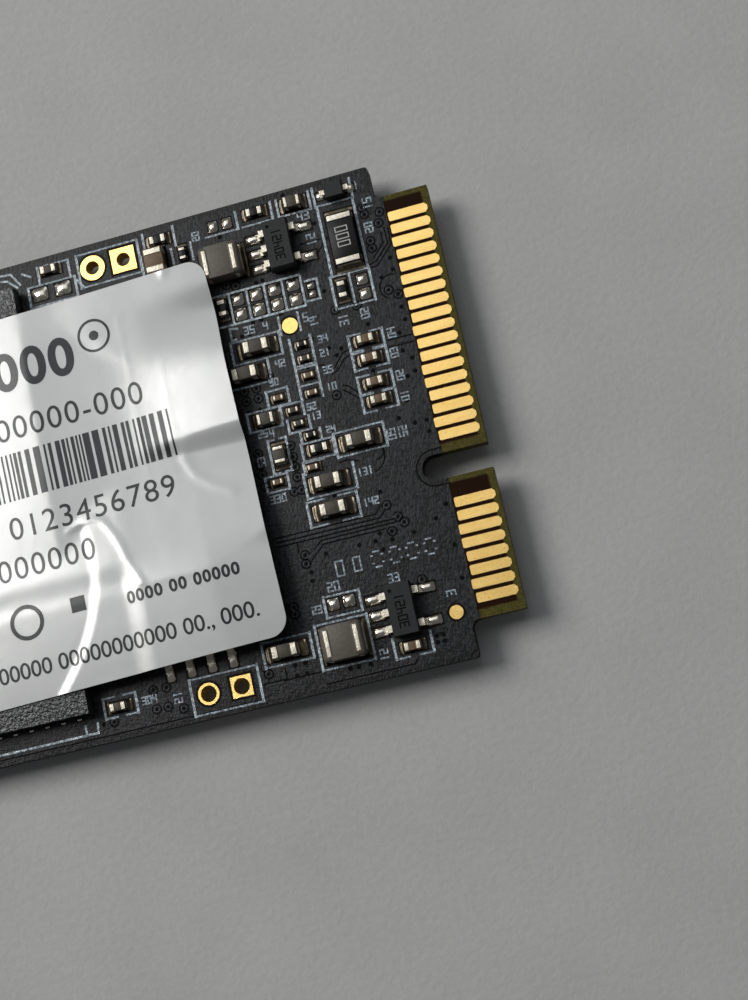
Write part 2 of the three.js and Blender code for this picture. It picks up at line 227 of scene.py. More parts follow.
def laminate_material():
    """Glass-epoxy: olive where light comes through its rim, dark brown over the inner copper."""
    n = Nodes("bare_laminate")
    x, y, _ = n.node("ShaderNodeSeparateXYZ", {0: n.place}).outputs
    waver = n.math("MULTIPLY_ADD", n.noise(0.5, 2), 0.08, -0.04)
    blur = 0.06

    def inside(value, low, high):
        value = n.math("ADD", value, waver)
        rising = n.spread(value, 0, 1, low - blur, low + blur)
        falling = n.spread(value, 1, 0, high - blur, high + blur)
        return n.math("MULTIPLY", rising, falling)

    across = n.math("MAXIMUM", inside(y, -2.6, 12.55), inside(y, -12.35, -4.9))
    window = n.math("MULTIPLY", across, inside(x, 22.0, 25.0))
    weave = n.math("MULTIPLY", n.noise(0.09, 2, (4, 1, 1)), n.noise(0.09, 2, (1, 4, 1)))
    olive = n.mix(n.spread(weave, 0, 1, 0.15, 0.4), (0.050, 0.044, 0.010), (0.100, 0.088, 0.024))
    rim = n.mix(n.spread(x, 0, 1, 22.5, 22.9), (0.014, 0.013, 0.008), olive)
    mixed = n.mix(window, rim, (0.016, 0.0055, 0.0022))
    return n.finish(mixed, n.spread(weave, 0.45, 0.6, 0.1, 0.4), 0, 0.04, weave, 0.01)


def package_material():
    """Black epoxy with the coarse spark-eroded face of a memory package."""
    n = Nodes("memory_epoxy")
    pits = n.noise(0.18, 2, (1.4, 1, 1), 0.5, 0.6)
    fine = n.noise(0.05, 2)
    mixed = n.mix(n.spread(pits, 0, 1, 0.46, 0.6), (0.002, 0.002, 0.0025), (0.048, 0.051, 0.055))
    return n.finish(mixed, n.spread(fine, 0.24, 0.34), 0, 0.5, pits, 0.085)


def label_material(name, dark, light, specular, metallic):
    """Silvery printed film, or the ink on it: both share the film's gloss."""
    n = Nodes(name)
    mottle = n.noise(0.05, 3)
    waves = n.math("ADD", n.noise(2.2, 2), n.math("MULTIPLY", mottle, 0.12))
    mixed = n.mix(n.noise(6, 2), dark, light)
    return n.finish(mixed, n.spread(mottle, 0.16, 0.24), metallic, specular, waves, 0.012)


def legend_material(name, faint, full):
    """Pale blue-grey ink, thin enough for the lacquer to show through in flecks."""
    n = Nodes(name)
    flecks = n.noise(0.2, 3, roughness=0.6)
    mixed = n.mix(n.spread(flecks, 0, 1, 0.4, 0.6), faint, full)
    return n.finish(mixed, n.spread(flecks, 0.35, 0.15), 0, 1.0, flecks, 0.1)


MASK = solder_mask_material("solder_mask")
# Lacquer over copper, lightened: partly its own tone over the copper, partly painted sheen on the raised
# tracks and via rings.
MASK_OVER_COPPER_AND_SHEEN = solder_mask_material("solder_mask_over_copper_and_sheen", 1.7)
# Near-black for the gaps in the copper and for the via holes: partly the lacquer's own darker tone over bare
# gaps, partly painted shade of the grooves, and painted shade for the holes.
GROOVE_AND_HOLE_SHADE = surface("mask_groove_and_hole_shade", (0.0015, 0.0015, 0.002), (0.003, 0.003, 0.0035), 0.8, (0.5, 0.7),
                 specular=0.06)
# Dark brown of the bare laminate round pads and parts, made darker still as painted shade round them.
RECESS_AND_SHADE = surface("bare_recess_and_painted_shade", (0.006, 0.003, 0.0014), (0.002, 0.0013, 0.0008), 0.2, (0.4, 0.6),
                 specular=0.08)
LAMINATE = laminate_material()
MASK_OVER_LAMINATE = solder_mask_material("solder_mask_over_laminate", 0.45)
# Bright ink and dim ink. Box sides along Y take the bright ink as a painted highlight, sides along X the dim
# ink as painted shade; the dim ink is also the small digits' own fainter print.
INK = legend_material("legend_ink", (0.10, 0.13, 0.155), (0.42, 0.50, 0.55))
THIN_AND_SHADED_INK = legend_material("legend_ink_thin_and_shaded", (0.05, 0.07, 0.09), (0.27, 0.34, 0.40))
GOLD = surface("gold_plating", (0.97, 0.67, 0.245), (0.88, 0.57, 0.17), 0.7, (0.26, 0.36), 1.0,
               bump=0.25, grain=0.05, stretch=(3, 1, 1))
TIN = surface("tinned_terminal", (0.82, 0.77, 0.65), (0.53, 0.48, 0.375), 0.2, (0.3, 0.45), 0.45,
              bump=0.35, grain=0.09)
SOLDER = surface("solder", (0.80, 0.76, 0.67), (0.60, 0.54, 0.44), 0.3, (0.16, 0.26), 1.0,
                 bump=0.08, grain=0.12)
# Fillet solder is a darker copy of the bright solder: partly flux stain, partly painted dark reflection of
# the surroundings.
FILLET_STAIN_AND_DARK_REFLECTION = surface("solder_fillet_stain_and_dark_reflection", (0.21, 0.18, 0.135), (0.10, 0.082, 0.056), 0.3, (0.3, 0.42), 1.0,
                 bump=0.03, grain=0.15)
TAUPE = ceramic("ferrite_taupe", (0.080, 0.070, 0.056), (0.112, 0.098, 0.080))
DARK_TAUPE = ceramic("ceramic_taupe", (0.038, 0.031, 0.021), (0.068, 0.057, 0.043))
BROWN = ceramic("ceramic_brown", (0.105, 0.066, 0.034), (0.17, 0.112, 0.064))
GLAZE = surface("black_glaze", (0.003, 0.003, 0.0035), (0.007, 0.0065, 0.0065), 0.2, (0.3, 0.45),
                bump=0.15, grain=0.04, specular=0.2)
EPOXY = surface("leaded_package_epoxy", (0.0095, 0.0105, 0.0115), (0.016, 0.017, 0.0185), 0.3,
                (0.45, 0.6), bump=0.4, grain=0.03, specular=0.25)
MEMORY = package_material()
SUBSTRATE = surface("package_substrate", (0.006, 0.010, 0.006), (0.014, 0.019, 0.011), 0.4, (0.4, 0.6),
                    specular=0.3)
FILM = label_material("label_film", (0.43, 0.435, 0.43), (0.48, 0.485, 0.48), 1.0, 0.12)
PRINT = label_material("label_print", (0.007, 0.008, 0.010), (0.013, 0.014, 0.017), 0.4, 0.0)
LASER_MARK = surface("laser_mark", (0.0015, 0.0015, 0.0015), (0.003, 0.003, 0.003), 0.1, (0.5, 0.6),
                     specular=0.05)
PALE_MARK = surface("resistor_code", (0.36, 0.36, 0.34), (0.48, 0.48, 0.46), 0.1, (0.5, 0.6))

# ---- meshes ----


class Piece:
    """Closed solids gathered in one mesh, in millimetres, each with its own material."""

    def __init__(self, *materials):
        self.bm = bmesh.new()
        self.materials = materials
        self.count = 0

    def stamp(self, faces, material):
        for face in faces:
            face.material_index = self.materials.index(material or self.materials[0])

    def prism(self, outline, z0, z1, material=None):
        """A flat outline made solid. Tops differ by a hair, so that crossings share no plane."""
        hair = 2e-5
        self.count += 1
        top = z1 + self.count % 40 * math.copysign(hair, z1 - z0)
        low = [self.bm.verts.new((x, y, z0)) for x, y in outline]
        high = [self.bm.verts.new((x, y, top)) for x, y in outline]
        self.close(low, high, material)

    def close(self, low, high, material):
        """Joins two rings of vertices with walls and caps them."""
        walls = [(low[i - 1], low[i], high[i], high[i - 1]) for i in range(len(low))]
        self.stamp([self.bm.faces.new(ring) for ring in (low[::-1], high, *walls)], material)

    def box(self, x0, x1, y0, y1, z0, z1, material=None):
        self.prism([(x0, y0), (x1, y0), (x1, y1), (x0, y1)], z0, z1, material)

    def recess(self, x0, x1, y0, y1, z):
        """A bare patch in the lacquer, a rim wider than the given rectangle. Its dark brown is partly the
        bare laminate and partly painted shade.
        """
        rim = RECESS_RIM
        self.box(x0 - rim, x1 + rim, y0 - rim, y1 + rim, z + RECESS_LOW, z + RECESS_HIGH, RECESS_AND_SHADE)

    def stroke(self, points, width, z0, z1, material=None):
        """A line of even width through the points, with square ends that overlap at the corners."""
        half = width / 2
        for (xa, ya), (xb, yb) in zip(points, points[1:]):
            length = math.hypot(xb - xa, yb - ya)
            ux, uy = (xb - xa) / length * half, (yb - ya) / length * half
            self.prism([(xa - ux + uy, ya - uy - ux), (xb + ux + uy, yb + uy - ux),
                        (xb + ux - uy, yb + uy + ux), (xa - ux - uy, ya - uy + ux)], z0, z1, material)

    def lathe(self, x, y, profile, sides, square=None):
        """A closed profile of (radius, height) swept round x, y.

        Radii at or past square become a square's sides.
        """
        rings = []
        for radius, z in profile:
            ring = []
            for i in range(sides):
                angle = 2 * math.pi * i / sides
                c, s = math.cos(angle), math.sin(angle)
                reach = radius / max(abs(c), abs(s)) if square and radius >= square else radius
                ring.append(self.bm.verts.new((x + reach * c, y + reach * s, z)))
            rings.append(ring)
        for a, b in zip(rings, rings[1:] + rings[:1]):
            self.stamp([self.bm.faces.new((a[i - 1], a[i], b[i], b[i - 1])) for i in range(sides)], None)

    def block(self, x0, x1, y0, y1, z0, z1, bevel, material=None, segments=2):
        """A box with rounded edges."""
        made = bmesh.ops.create_cube(self.bm, size=1)["verts"]
        bmesh.ops.scale(self.bm, vec=(x1 - x0, y1 - y0, z1 - z0), verts=made)
        bmesh.ops.translate(self.bm, vec=((x0 + x1) / 2, (y0 + y1) / 2, (z0 + z1) / 2), verts=made)
        self.stamp({face for vert in made for face in vert.link_faces}, material)
        edges = list({edge for vert in made for edge in vert.link_edges})
        bmesh.ops.bevel(self.bm, geom=edges, offset=bevel, segments=segments, profile=0.5,
                        affect="EDGES", clamp_overlap=True)

    def mound(self, x0, x1, y0, y1, z0, height, material=None, steps=8, rounding=0.12):
        """A round-cornered solid whose top follows height(u, v), with u and v from -1 to 1.

        The top stands on a low upright lip, so that its rim never meets the foot.
        """
        lip = 0.004
        grid = []
        for j in range(steps + 1):
            row = []
            for i in range(steps + 1):
                u, v = 2 * i / steps - 1, 2 * j / steps - 1
                x = (x0 + x1) / 2 + (x1 - x0) / 2 * u * (1 - rounding * v ** 4)
                y = (y0 + y1) / 2 + (y1 - y0) / 2 * v * (1 - rounding * u ** 4)
                row.append(self.bm.verts.new((x, y, z0 + lip + height(u, v))))
            grid.append(row)
        cells = [(j, i) for j in range(steps) for i in range(steps)]
        faces = [self.bm.faces.new((grid[j][i], grid[j][i + 1], grid[j + 1][i + 1], grid[j + 1][i]))
                 for j, i in cells]
        rim = grid[0][:-1] + [row[-1] for row in grid[:-1]]
        rim += grid[-1][:0:-1] + [row[0] for row in grid[:0:-1]]
        foot = [self.bm.verts.new((vert.co.x, vert.co.y, z0)) for vert in rim]
        faces += [self.bm.faces.new((rim[i], rim[i - 1], foot[i - 1], foot[i])) for i in range(len(rim))]
        faces.append(self.bm.faces.new(foot[::-1]))
        self.stamp(faces, material)

    def finish(self, name, slot, replaced=(), at=(0, 0, 0), turn=0.0, underside=False, crease=35):
        """Makes the Blender object. A piece on the underside is turned over about X before it is placed."""
        bm = self.bm
        if underside:
            bmesh.ops.rotate(bm, cent=(0, 0, 0), matrix=Matrix.Rotation(math.pi, 3, "X"), verts=bm.verts)
        bmesh.ops.rotate(bm, cent=(0, 0, 0), matrix=Matrix.Rotation(turn, 3, "Z"), verts=bm.verts)
        bmesh.ops.translate(bm, vec=at, verts=bm.verts)
        bmesh.ops.scale(bm, vec=(MM,) * 3, verts=bm.verts)
        bmesh.ops.recalc_face_normals(bm, faces=bm.faces)
        for face in bm.faces:
            face.smooth = True
        for edge in bm.edges:
            edge.smooth = edge.calc_face_angle(0) < math.radians(crease)
        mesh = bpy.data.meshes.new(name)
        bm.to_mesh(mesh)
        bm.free()
        for material in self.materials:
            mesh.materials.append(material)
        obj = bpy.data.objects.new(name, mesh)
        bpy.context.scene.collection.objects.link(obj)
        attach(obj, "root")
        if replaced:
            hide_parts(*replaced)


def arc(cx, cy, radius, start, end, steps):
    """Points on an arc, in degrees."""
    angles = [math.radians(start + (end - start) * i / steps) for i in range(steps + 1)]
    return [(cx + radius * math.cos(a), cy + radius * math.sin(a)) for a in angles]


def disc(x, y, radius, sides=32):
    return arc(x, y, radius, 0, 360, sides)[:-1]


def ring(inner, outer, low, high):
    """A flat ring's profile, for lathe."""
    return [(inner, low), (outer, low), (outer, high), (inner, high)]


# ---- the card ----


def dress(node, material, edge=0.0, segments=2):
    """Gives a CAD node its finish and, through a modifier, slightly rounded edges."""
    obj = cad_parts[node]
    obj.data.materials.clear()
    obj.data.materials.append(material)
    if edge:
        bevel = obj.modifiers.new("edge", "BEVEL")
        bevel.width = edge * MM
        bevel.segments = segments
        bevel.limit_method = "ANGLE"
        bevel.angle_limit = math.radians(35)


CONTACT_ROWS = (("long", 18), ("short", 8))
CAD_CONTACT_WIDTH = 0.6
CONTACT_HALF = 0.285
CONTACT_THICK = 0.038
LATE_START = 0.09
WIPE_X, WIPE_STEP, WIPE_LENGTH = 24.35, 0.17, 0.07


def contact_outline(y, start, tip):
    """A contact's outline: slightly narrowed where it leaves the lacquer, chamfered at its tip."""
    half = [(start, 0.22), (start + 0.06, CONTACT_HALF), (tip - 0.16, CONTACT_HALF),
            (tip - 0.04, 0.16), (tip, 0.12)]
    return [(x, y - dy) for x, dy in half] + [(x, y + dy) for x, dy in half[::-1]]


def add_wipe_marks(piece, y, z0, z1):
    """Short marks across a contact, where a socket's spring has wiped it."""
    for k in range(3):
        x = WIPE_X + WIPE_STEP * k + random.uniform(-0.03, 0.03)
        piece.box(x, x + WIPE_LENGTH, y + random.uniform(-0.05, 0.02), y + 0.05, z0, z1)


def add_contacts():
    """Separate gold contacts. Some start at the lacquer's edge and some a little past it."""
    tip = corners("contacts_top_long")[1].x
    for side, z0, sign in (("top", BOARD_TOP - COPPER, 1), ("bottom", BOARD_BOTTOM + COPPER, -1)):
        for length, count in CONTACT_ROWS:
            node = f"contacts_{side}_{length}"
            low, high = corners(node)
            piece = Piece(GOLD)
            pitch = (high.y - low.y - CAD_CONTACT_WIDTH) / (count - 1)
            for i in range(count):
                y = low.y + CAD_CONTACT_WIDTH / 2 + i * pitch
                start = MASK_END + (0.0 if (i * 5 + 3) % 7 < 3 else LATE_START)
                piece.prism(contact_outline(y, start, tip), z0, z0 + sign * CONTACT_THICK)
                add_wipe_marks(piece, y, z0, z0 + sign * (CONTACT_THICK + 0.0005))
            piece.finish(f"edge_{node}", "gold_plating", [node])


def add_plated_holes():
    """Smooth plated barrels with a pad on each face."""
    for node in [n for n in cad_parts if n.startswith(("header", "screw_pad"))]:
        low, high = corners(node)
        x, y, pad = (low.x + high.x) / 2, (low.y + high.y) / 2, (high.x - low.x) / 2
        screw = node.startswith("screw")
        radius = 1.3 if screw else 0.45 if "south" in node else 0.4
        film, wall, ease = COPPER, 0.05, 0.015
        profile = [
            (radius, low.z + ease), (radius + ease, low.z), (pad - ease, low.z), (pad, low.z + ease),
            (pad, low.z + film), (radius + wall, low.z + film), (radius + wall, high.z - film),
            (pad, high.z - film), (pad, high.z - ease), (pad - ease, high.z),
            (radius + ease * 2, high.z), (radius, high.z - ease * 2),
        ]
        square = pad - 0.02 if "square" in node else None
        piece = Piece(TIN if screw else GOLD)
        piece.lathe(x, y, profile, 64 if screw else 40, square)
        piece.finish(f"{node}_plated", "tinned_metal" if screw else "gold_plating", [node], crease=25)
        # A dark brown clearance ring round each pad: bare laminate, darkened further as painted shade.
        gap = Piece(RECESS_AND_SHADE)
        outer = pad + (0.1 if screw else 0.13)
        for z in (BOARD_TOP, BOARD_BOTTOM):
            gap.lathe(x, y, ring(pad + 0.005, outer, z - 0.005, z + RECESS_HIGH), 40, square)
        gap.finish(f"{node}_clearance", "laminate")


def add_fiducials():
    for node in ("fiducial_middle", "fiducial_corner"):
        low, high = corners(node)
        x, y, r = (low.x + high.x) / 2, (low.y + high.y) / 2, (high.x - low.x) / 2
        # A dark brown clearance ring round the target: bare laminate, darkened further as painted shade.
        gap = Piece(RECESS_AND_SHADE)
        z = BOARD_TOP
        gap.lathe(x, y, ring(r + 0.01, r + 0.13, z - 0.02, z + RECESS_HIGH), 40)
        gap.finish(f"{node}_clearance", "laminate")
        target = Piece(GOLD)
        target.prism(disc(x, y, r, 48), low.z, high.z - 0.004)
        target.finish(f"{node}_disc", "gold_plating", [node])


# ---- chips ----


def end_fillet(peak):
    """Solder that climbs the chip's end, thins out over the pad, and rolls up a little at the pad's rim."""
    def height(u, v):
        t = (u + 1) / 2
        climb = peak * max(0.0, 1 - t / 0.8) ** 2.2 * (1 - 0.5 * v * v)
        rim = 0.045 * math.exp(-((t - 0.88) / 0.08) ** 2)
        return climb + rim * (1 - v ** 8) * (1 - t ** 12)
    return height


def add_chip(name, x, y, size, turn=0.0, body=DARK_TAUPE, slot="capacitor_ceramic", replaced=(),
             underside=False, toe=0.42, band=0.3, rounding=0.09):
    """A chip part: block, two metal ends, its solder, and the bare recess that it sits in, whose dark brown
    is partly painted shade.

    toe is how far the solder reaches past the end, and band is a metal end's share of the length.
    """
    length, width, height = size
    half, side = length / 2, width / 2
    piece = Piece(body, TIN, FILLET_STAIN_AND_DARK_REFLECTION, RECESS_AND_SHADE)
    cap = length * band
    inset = 0.02
    piece.recess(-half - toe, half + toe, -side - 0.06, side + 0.06, 0)
    core = half - cap * 0.6
    piece.block(-core, core, -side + inset, side - inset, inset, height - inset, 0.03, body)
    fillet = end_fillet(height * 0.6)
    for end in (-1, 1):
        x0, x1 = sorted((end * (half - cap), end * half))
        piece.block(x0, x1, -side, side, 0, height, min(rounding, cap * 0.45, height * 0.35), TIN, 4)
        x0, x1 = sorted((end * (half - 0.03), end * (half + toe)))
        # The fillets take the darker solder, partly stain and partly painted dark reflection.
        piece.mound(x0, x1, -side - 0.07, side + 0.07, 0, lambda u, v, e=end: fillet(e * u, v), FILLET_STAIN_AND_DARK_REFLECTION, 12)
    z = BOARD_BOTTOM if underside else BOARD_TOP
    piece.finish(name, slot, replaced, (x, y, z), turn, underside)


def add_bare_pads(name, places, size, peak):
    """Unused pads with a pillow of solder on each."""
    def pillow(u, v):
        return peak * (1 - u * u) * (1 - v * v)

    piece = Piece(SOLDER, RECESS_AND_SHADE)
    half, side = size[0] / 2, size[1] / 2
    for x, y in places:
        # Each pad sits in a dark bare patch, partly painted shade.
        piece.recess(x - half, x + half, y - side, y + side, BOARD_TOP)
        piece.mound(x - half, x + half, y - side, y + side, BOARD_TOP, pillow, SOLDER, 10)
    piece.finish(name, "tinned_metal")


TOES = {"core_a": 0.45, "core_b": 0.45, "edge_a": 0.5, "edge_b": 0.45, "edge_c": 0.5, "output_south": 0.45}


def add_large_capacitors():
    for node in [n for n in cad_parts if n.startswith("capacitor")]:
        low, high = corners(node)
        along, across = high.x - low.x, high.y - low.y
        turn = 0 if along > across else UPRIGHT
        size = (max(along, across), min(along, across), high.z - low.z)
        middle = (low + high) / 2
        body = BROWN if node == "capacitor_output_north" else DARK_TAUPE
        toe = TOES.get(node.removeprefix("capacitor_"), 0.3)
        add_chip(f"{node}_fitted", middle.x, middle.y, size, turn, body, replaced=[node],
                 underside="underside" in node, toe=toe)


SIZE_0402 = (1.0, 0.52, 0.5)
SIZE_0201 = (0.66, 0.36, 0.3)
SIZE_RESISTOR = (1.05, 0.55, 0.35)
SMALL_CHIPS = {
    # name: x, y, size, turn, body
    "capacitor_contact_a": (19.9, 4.55, SIZE_0402, 0, BROWN),
    "capacitor_contact_b": (19.9, 3.38, SIZE_0402, 0, BROWN),
    "capacitor_contact_c": (19.9, 1.92, SIZE_0402, 0, BROWN),
    "capacitor_contact_d": (19.9, 0.84, SIZE_0402, 0, BROWN),
    "capacitor_regulator_south": (18.7, -13.5, SIZE_0402, 0, BROWN),
    "capacitor_memory_south": (1.15, -13.05, SIZE_0402, 0, DARK_TAUPE),
    "capacitor_fine_a": (16.15, 5.25, SIZE_0201, 0, GLAZE),
    "capacitor_fine_b": (16.15, 4.38, SIZE_0201, 0, DARK_TAUPE),
    "capacitor_fine_c": (16.15, 3.32, SIZE_0201, 0, BROWN),
    "capacitor_fine_d": (16.15, 2.25, SIZE_0201, 0, BROWN),
    "capacitor_fine_e": (14.1, 2.45, SIZE_0201, 0, BROWN),
    "capacitor_fine_f": (14.82, 1.5, SIZE_0201, 0, DARK_TAUPE),
    "capacitor_fine_g": (14.98, 0.65, SIZE_0201, 0, DARK_TAUPE),
    "capacitor_fine_h": (15.55, -0.2, SIZE_0201, 0, GLAZE),
    "capacitor_fine_i": (15.25, -2.1, SIZE_0201, 0, BROWN),
    "capacitor_fine_j": (13.05, -2.45, SIZE_0201, 0, BROWN),
    "resistor_core": (15.85, -1.08, SIZE_RESISTOR, 0, GLAZE),
    "resistor_edge": (19.18, 7.85, SIZE_RESISTOR, UPRIGHT, GLAZE),
    "resistor_label_side": (11.9, 8.65, SIZE_RESISTOR, UPRIGHT, GLAZE),
    "resistor_north_a": (15.0, 14.0, SIZE_RESISTOR, 0, GLAZE),
    "resistor_north_b": (8.85, 13.95, SIZE_RESISTOR, 0, GLAZE),
    "resistor_north_c": (1.75, 14.0, SIZE_RESISTOR, 0, DARK_TAUPE),
    "resistor_north_d": (10.2, 12.65, (0.8, 0.45, 0.35), UPRIGHT, GLAZE),
}


def add_small_chips():
    for name, (x, y, size, turn, body) in SMALL_CHIPS.items():
        slot = "resistor_glaze" if name.startswith("resistor") else "capacitor_ceramic"
        toe = 0.16 if size is SIZE_0201 else 0.28
        add_chip(name, x, y, size, turn, body, slot, toe=toe, band=0.33, rounding=0.06)


def add_pads():
    grid = [(x, y) for x in (12.9, 14.05, 15.2, 16.35) for y in (9.0, 8.05)]
    add_bare_pads("pads_tuning_grid", grid, (0.74, 0.74), 0.15)
    add_bare_pads("pads_tuning_small", [(17.38, 8.65), (17.38, 8.12)], (0.42, 0.38), 0.09)
    add_bare_pads("pads_edge_pair", [(20.45, 8.22), (20.45, 7.3)], (0.66, 0.66), 0.14)
    add_bare_pads("pads_north_pair", [(12.3, 13.85), (13.2, 13.85)], (0.58, 0.68), 0.13)
    add_bare_pads("pads_south_pair", [(14.72, -10.15), (15.65, -10.15)], (0.68, 0.68), 0.15)
    add_bare_pads("pads_memory_pair", [(0.9, 12.65), (2.4, 12.65)], (1.0, 0.85), 0.16)
    add_bare_pads("pads_memory_row", [(-1.4 - k, -13.24) for k in range(17)], (0.28, 0.16), 0.03)


def span(first, last):
    """The middle and the size of the box from one node's low corner to another's high corner."""
    low, high = corners(first)[0], corners(last)[1]
    return (low + high) / 2, high - low


def add_inductors_and_jumper():
    for node in ("inductor_north", "inductor_south"):
        middle, size = span(f"{node}_cap_west", f"{node}_cap_east")
        nodes = [f"{node}_{part}" for part in ("body", "cap_west", "cap_east")]
        add_chip(f"{node}_fitted", middle.x, middle.y, tuple(size), 0, TAUPE, "ferrite", nodes,
                 toe=0.2, band=0.31, rounding=0.28)
    middle, size = span("jumper_cap_south", "jumper_cap_north")
    nodes = ["jumper_body", "jumper_cap_south", "jumper_cap_north"]
    add_chip("jumper_fitted", middle.x, middle.y, (size.y, size.x, size.z), UPRIGHT, GLAZE,
             "resistor_glaze", nodes, toe=0.4, band=0.15)
    code = Piece(PALE_MARK)
    top = corners("jumper_cap_north")[1].z
    zero = ((-1, -1), (1, -1), (1, 1), (-1, 1), (-1, -1))
    for k in (-1, 0, 1):
        y = middle.y + 0.1 + k * 0.46
        outline = [(middle.x + dx * 0.36, y + dy * 0.14) for dx, dy in zero]
        code.stroke(outline, 0.06, top - 0.03, top - 0.012)
    code.finish("jumper_code", "resistor_glaze")


# ---- leaded and ball grid packages ----


SOT_PINS = (-0.95, 0, 0.95)
SOIC_PINS = (-1.905, -0.635, 0.635, 1.905)


def add_lead_solder(name, x, y, feet, pad, peak):
    """Solder over each lead's foot.

    feet are (ux, uy, offset along the side, gap from the package's centre), and u points outwards.
    """
    def heap(u, v):
        return peak * (1 - u ** 4) * (1 - abs(v) ** 3)

    piece = Piece(SOLDER, RECESS_AND_SHADE)
    for ux, uy, offset, gap in feet:
        reach = gap + pad[0] / 2
        cx, cy = x + ux * reach + abs(uy) * offset, y + uy * reach + abs(ux) * offset
        hx, hy = (pad[0] / 2, pad[1] / 2) if ux else (pad[1] / 2, pad[0] / 2)
        # Each foot's pad sits in a dark bare patch, partly painted shade.
        piece.recess(cx - hx, cx + hx, cy - hy, cy + hy, BOARD_TOP)
        piece.mound(cx - hx, cx + hx, cy - hy, cy + hy, BOARD_TOP, heap, SOLDER)
    piece.finish(name, "tinned_metal")


def add_leaded_packages():
    places = {}
    for name in ("flash", "regulator_north", "regulator_south", "diode"):
        dress(f"{name}_body", EPOXY, 0.04)
        dress(f"{name}_lead_frame", TIN, 0.02)
        low, high = corners(f"{name}_body")
        places[name] = ((low.x + high.x) / 2, (low.y + high.y) / 2, high.z)
    for name in ("regulator_north", "regulator_south"):
        x, y, z = places[name]
        west = [(-1, 0, offset, 1.1) for offset in SOT_PINS]
        east = [(1, 0, offset, 1.1) for offset in SOT_PINS[::2]]
        add_lead_solder(f"{name}_solder", x, y, west + east, (0.95, 0.6), 0.2)
        mark = Piece(LASER_MARK)
        for line in digit_lines(x + 0.27, y - 1.05, "30421", 0.5, True):
            mark.stroke(line, 0.085, z - 0.01, z + 0.002)
        mark.prism(disc(x - 0.42, y + 1.1, 0.11, 18), z - 0.01, z + 0.002)
        mark.finish(f"{name}_mark", "mould_compound")
    pins = [(0, side, offset, 2.5) for side in (-1, 1) for offset in SOIC_PINS]
    add_lead_solder("flash_solder", *places["flash"][:2], pins, (0.95, 0.56), 0.17)
    ends = [(-1, 0, 0, 0.68), (1, 0, 0, 0.68)]
    add_lead_solder("diode_solder", *places["diode"][:2], ends, (0.5, 0.5), 0.12)


def add_ball_grid_packages():
    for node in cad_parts:
        if node.endswith("_mould_cap"):
            dress(node, MEMORY if node.startswith("memory") else EPOXY, 0.05)
        elif node.endswith("_substrate"):
            dress(node, SUBSTRATE, 0.01, 1)


# ---- legend, tracks and vias ----

BOXES = [
    # x0, x1, y0, y1, then the sides drawn if not all; g leaves a gap in the south and north sides
    (3.55, 7.5, 12.3, 14.4), (11.9, 14.9, 5.05, 6.45), (10.6, 13.9, 3.6, 5.0, "es"),
    (15.42, 16.7, 4.9, 5.72, "we"), (15.42, 16.7, 4.02, 4.85, "wes"), (15.42, 16.7, 2.98, 3.88, "wen"),
    (15.42, 16.7, 1.95, 2.8, "wen"), (13.4, 14.7, 2.0, 3.0), (12.0, 14.0, 0.82, 1.98),
    (14.05, 15.4, 1.15, 1.95, "wen"), (14.3, 15.6, 0.2, 1.0, "wes"), (12.9, 14.0, -1.92, 0.1, "wesng"),
    (14.9, 16.1, -0.55, 0.1, "we"), (14.8, 16.7, -1.65, -0.6), (16.8, 19.78, -1.9, -0.45),
    (14.7, 15.95, -2.4, -1.72, "wn"), (14.55, 17.55, -3.85, -2.35, "wes"),
    (14.4, 17.4, -5.55, -4.05, "wesng"), (12.3, 13.65, -2.95, -2.02), (18.87, 20.93, 4.0, 5.02, "wesng"),
    (18.87, 20.93, 2.85, 3.9, "wesng"), (18.87, 20.93, 1.37, 2.45, "wesng"),
    (18.87, 20.93, 0.27, 1.32, "wesng"), (14.2, 16.3, -10.85, -9.65), (13.35, 16.45, -13.72, -11.12),
    (10.1, 13.0, -12.85, -11.4), (5.5, 9.6, -14.62, -12.5), (0.2, 2.2, -13.6, -12.42, "wesng"),
    (17.6, 19.8, -14.05, -12.9, "wesg"), (0.2, 3.25, 11.9, 13.2), (1.0, 3.0, 13.3, 14.35, "wen"),
    (18.6, 20.98, 6.8, 8.8), (16.4, 18.4, 13.3, 14.4, "wes"), (18.68, 21.0, 13.3, 14.5, "wes"),
    (18.75, 20.95, 8.85, 13.2, "we"), (14.1, 16.02, 13.3, 14.4, "es"), (11.75, 13.82, 13.3, 14.4, "es"),
    (7.9, 9.85, 13.35, 14.6, "we"), (7.55, 9.5, 12.1, 13.2, "we"),
]
STROKES = [
    [(11.4, 9.5), (16.85, 9.5), (16.85, 7.55), (11.4, 7.55)],
    *([(x, 9.5), (x, 7.65)] for x in (12.4, 13.5, 14.6, 15.7)), [(19.75, 6.8), (19.75, 8.8)],
    [(17.1, 9.0), (17.8, 9.0), (17.8, 7.75), (17.0, 7.75)], [(15.05, 6.15), (15.05, 7.25)],
    [(16.25, 6.15), (16.25, 7.25)], [(-4.9, -14.25), (-18.7, -14.25), (-18.7, -13.4)],
    [(-4.7, -14.25), (-0.4, -14.25), (-0.35, -13.7)], [(-1.1, -13.72), (-1.1, -14.25)],
    [(-18.7, 13.4), (-18.7, 14.4), (-1.6, 14.4)], [(-1.4, 14.45), (-0.75, 14.4), (-0.25, 13.6)],
    [(-1.4, 14.1), (-1.0, 14.0), (-0.45, 13.45)], [(0.0, 14.2), (0.5, 13.9)], [(10.75, 13.3), (10.75, 12.2)],
    [(3.35, 12.9), (3.75, 12.3)], [(12.5, 7.25), (12.05, 7.35), (12.05, 6.6), (12.3, 6.6)],
]
